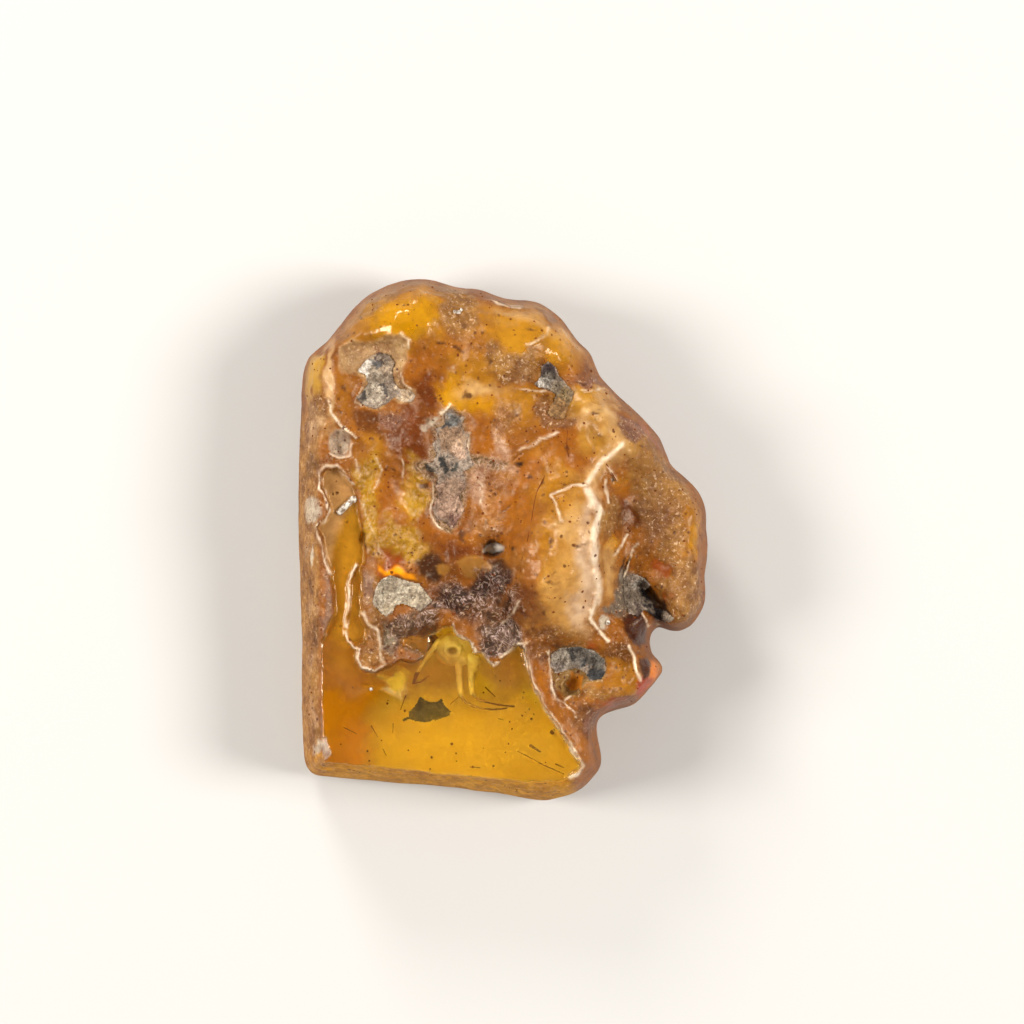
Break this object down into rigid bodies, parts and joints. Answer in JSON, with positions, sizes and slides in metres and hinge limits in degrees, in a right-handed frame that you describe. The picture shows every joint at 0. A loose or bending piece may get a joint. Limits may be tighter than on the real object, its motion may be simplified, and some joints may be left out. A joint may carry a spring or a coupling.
{
  "type": "raw amber piece",
  "caption": "Raw amber lump, part sawn and polished, with a window over a sealed insect and bark flake; lies flat on its ground back.",
  "frame": {"origin": "on the surface that the piece rests on, under the middle of its bounding box", "axes": "+Z out of the front with the polished window, +Y along the length, away from the window, +X to the right of the front"},
  "size_m": [0.0248, 0.0316, 0.0114],
  "materials": {
    "amber": "clear golden resin, polished on the window, natural and part matte elsewhere",
    "insect": "yellow-brown, satin",
    "bark": "dark brown, matte",
    "sediment": "grey-white, granular, matte"
  },
  "bodies": {
    "root": {"amber_upper": "amber", "amber_lower": "amber", "insect": "insect", "bark_flake": "bark", "sediment_upper_left": "sediment", "sediment_upper_right": "sediment", "sediment_middle": "sediment", "white_plaque": "sediment", "sediment_lower_right": "sediment", "sediment_notch": "sediment"}
  },
  "joints": []
}
